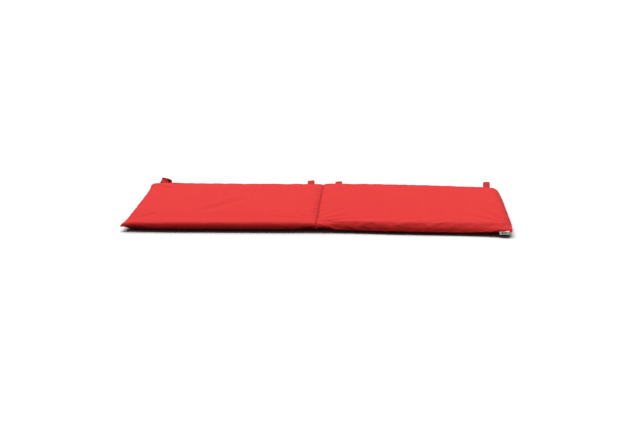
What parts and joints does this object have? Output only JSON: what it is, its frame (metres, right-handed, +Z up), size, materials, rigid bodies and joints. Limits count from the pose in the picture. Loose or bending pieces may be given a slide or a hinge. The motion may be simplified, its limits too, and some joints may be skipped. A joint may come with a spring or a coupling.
{
  "type": "folding landing mat",
  "caption": "Thin padded mat in two fabric-covered halves that fold together along a sewn line, with strap loops on the back edge and a zip in each half.",
  "frame": {"origin": "middle of the whole footprint, loops and label included, on the surface the mat lies on; the fold line is the plane x = 0", "axes": "+X along the mat towards the right half, +Y towards the back edge with the strap loops, +Z up"},
  "size_m": [1.2, 0.5446, 0.042],
  "materials": {
    "cover_fabric": "woven polyester, matte",
    "strap_webbing": "ribbed webbing",
    "thread": "twisted polyester thread",
    "wadding": "bonded polyester fibre",
    "foam": "open-cell foam",
    "zip_tape": "woven tape",
    "zip_coil": "nylon coil",
    "zip_metal": "lacquered die-cast zinc",
    "label": "woven satin ribbon"
  },
  "bodies": {
    "left_section": {"left_top_panel": "cover_fabric", "left_bottom_panel": "cover_fabric", "left_wadding_wrap": "wadding", "left_foam_core": "foam", "left_zip_upper_tape": "zip_tape", "left_zip_lower_tape": "zip_tape", "left_zip_upper_coil": "zip_coil", "left_zip_lower_coil": "zip_coil", "left_zip_stops": "zip_metal", "left_zip_stitching": "thread", "left_loop_tabs": "strap_webbing", "fold_seam_web": "cover_fabric", "fold_seam_thread": "thread"},
    "left_zip_slider_body": {"left_zip_slider": "zip_metal"},
    "left_zip_pull_body": {"left_zip_pull": "zip_metal"},
    "right_section": {"right_top_panel": "cover_fabric", "right_bottom_panel": "cover_fabric", "right_wadding_wrap": "wadding", "right_foam_core": "foam", "right_zip_upper_tape": "zip_tape", "right_zip_lower_tape": "zip_tape", "right_zip_upper_coil": "zip_coil", "right_zip_lower_coil": "zip_coil", "right_zip_stops": "zip_metal", "right_zip_stitching": "thread", "right_loop_tabs": "strap_webbing"},
    "right_zip_slider_body": {"right_zip_slider": "zip_metal"},
    "right_zip_pull_body": {"right_zip_pull": "zip_metal"},
    "left_outer_loop_body": {"left_outer_loop": "strap_webbing", "left_outer_loop_bartacks": "thread"},
    "left_inner_loop_body": {"left_inner_loop": "strap_webbing", "left_inner_loop_bartacks": "thread"},
    "right_inner_loop_body": {"right_inner_loop": "strap_webbing", "right_inner_loop_bartacks": "thread"},
    "right_outer_loop_body": {"right_outer_loop": "strap_webbing", "right_outer_loop_bartacks": "thread"},
    "side_label_body": {"side_label": "label"}
  },
  "joints": [
    {"name": "fold", "type": "hinge", "parent": "left_section", "child": "right_section", "pos_m": [0, 0, 0.0423], "axis": [0, -1, 0], "range_deg": [0, 180]},
    {"name": "left_outer_loop_flex", "type": "hinge", "parent": "left_section", "child": "left_outer_loop_body", "pos_m": [-0.555, 0.21135, 0.021], "axis": [-1, 0, 0], "range_deg": [-89, 13], "stiffness_Nm_per_rad": 0.02},
    {"name": "left_inner_loop_flex", "type": "hinge", "parent": "left_section", "child": "left_inner_loop_body", "pos_m": [-0.044, 0.21135, 0.021], "axis": [-1, 0, 0], "range_deg": [-86, 16], "stiffness_Nm_per_rad": 0.02},
    {"name": "right_inner_loop_flex", "type": "hinge", "parent": "right_section", "child": "right_inner_loop_body", "pos_m": [0.053, 0.21135, 0.021], "axis": [-1, 0, 0], "range_deg": [-92, 10], "stiffness_Nm_per_rad": 0.02},
    {"name": "right_outer_loop_flex", "type": "hinge", "parent": "right_section", "child": "right_outer_loop_body", "pos_m": [0.562, 0.21135, 0.021], "axis": [-1, 0, 0], "range_deg": [-84, 17], "stiffness_Nm_per_rad": 0.02},
    {"name": "left_zip_slide", "type": "slide", "parent": "left_section", "child": "left_zip_slider_body", "axis": [1, 0, 0], "range_m": [0, 0.3834]},
    {"name": "left_zip_pull_turn", "type": "hinge", "parent": "left_zip_slider_body", "child": "left_zip_pull_body", "pos_m": [-0.4927, 0.21275, 0.021], "axis": [0, 0, 1], "range_deg": [0, 170]},
    {"name": "right_zip_slide", "type": "slide", "parent": "right_section", "child": "right_zip_slider_body", "axis": [-1, 0, 0], "range_m": [0, 0.3834]},
    {"name": "right_zip_pull_turn", "type": "hinge", "parent": "right_zip_slider_body", "child": "right_zip_pull_body", "pos_m": [0.4927, 0.21275, 0.021], "axis": [0, 0, -1], "range_deg": [0, 170]},
    {"name": "side_label_flex", "type": "hinge", "parent": "right_section", "child": "side_label_body", "pos_m": [0.572, -0.27195, 0.021], "axis": [-1, 0, 0], "range_deg": [0, 170], "stiffness_Nm_per_rad": 0.0005}
  ]
}
